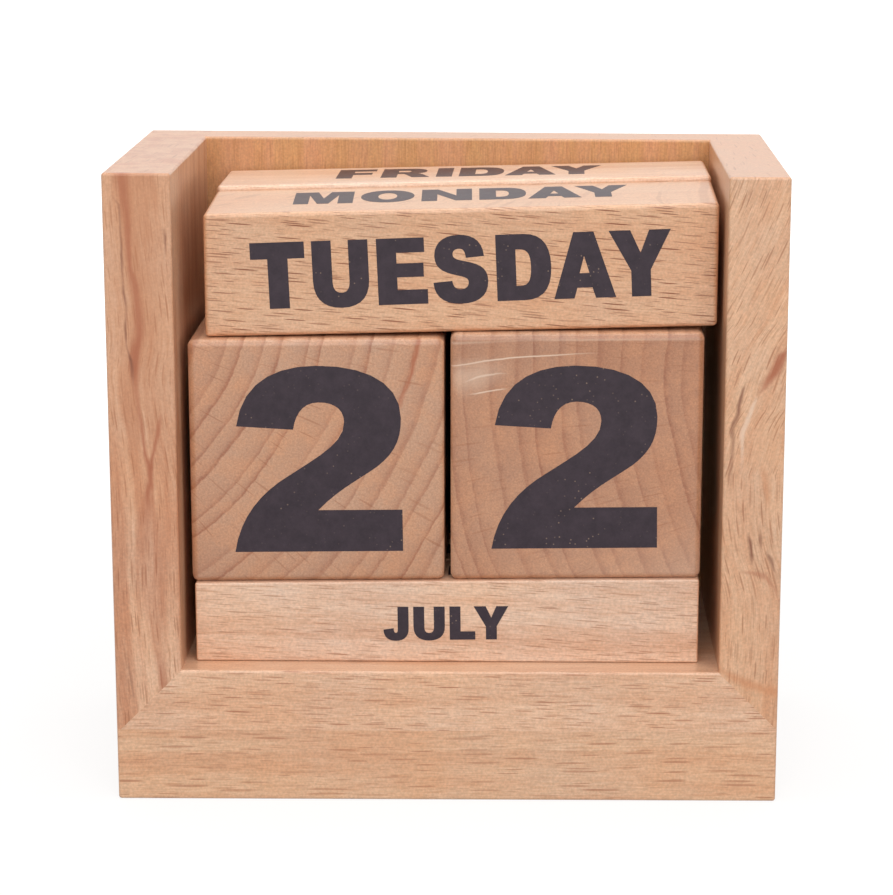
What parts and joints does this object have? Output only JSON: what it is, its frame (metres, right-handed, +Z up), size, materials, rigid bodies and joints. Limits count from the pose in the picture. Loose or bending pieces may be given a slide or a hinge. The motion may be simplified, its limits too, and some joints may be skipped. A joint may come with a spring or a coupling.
{
  "type": "perpetual desk calendar",
  "caption": "Perpetual desk calendar in beech: an open mitred frame holding loose day bars, number cubes and month bars that come out to be turned and put back.",
  "frame": {"origin": "middle of the footprint, on the surface that the base plate stands on", "axes": "+X to the reader's right along the blocks, -Y towards the reader, +Z up"},
  "size_m": [0.115, 0.0636, 0.1099],
  "materials": {
    "beech_board": "sanded, thin clear coat",
    "beech_block": "sanded, thin clear coat",
    "pin_steel": "drawn, dull",
    "stamp_ink": "thin screen-printed ink"
  },
  "bodies": {
    "frame": {"left_side_board": "beech_board", "right_side_board": "beech_board", "bottom_rail": "beech_board", "base_plate": "beech_board", "back_panel": "beech_board", "left_side_pins": "pin_steel", "right_side_pins": "pin_steel", "base_plate_pins": "pin_steel"},
    "left_number_cube": {"left_number_cube": "beech_block"},
    "right_number_cube": {"right_number_cube": "beech_block"},
    "day_bar_front": {"day_bar_front": "beech_block"},
    "day_bar_back": {"day_bar_back": "beech_block"},
    "month_bar_front": {"month_bar_front": "beech_block"},
    "month_bar_middle": {"month_bar_middle": "beech_block"},
    "month_bar_back": {"month_bar_back": "beech_block"}
  },
  "joints": [
    {"name": "day_bar_front_lift", "type": "slide", "parent": "frame", "child": "day_bar_front", "axis": [0, 0, 1], "range_m": [0, 0.035]},
    {"name": "day_bar_back_lift", "type": "slide", "parent": "frame", "child": "day_bar_back", "axis": [0, 0, 1], "range_m": [0, 0.035]},
    {"name": "left_cube_pull", "type": "slide", "parent": "frame", "child": "left_number_cube", "axis": [0, -1, 0], "range_m": [0, 0.055]},
    {"name": "right_cube_pull", "type": "slide", "parent": "frame", "child": "right_number_cube", "axis": [0, -1, 0], "range_m": [0, 0.055]},
    {"name": "month_row_push", "type": "slide", "parent": "frame", "child": "month_bar_back", "axis": [0, -1, 0], "range_m": [0, 0.055]},
    {"name": "month_pair_push", "type": "slide", "parent": "month_bar_back", "child": "month_bar_middle", "axis": [0, -1, 0], "range_m": [0, 0.04]},
    {"name": "month_front_pull", "type": "slide", "parent": "month_bar_middle", "child": "month_bar_front", "axis": [0, -1, 0], "range_m": [0, 0.025]}
  ]
}
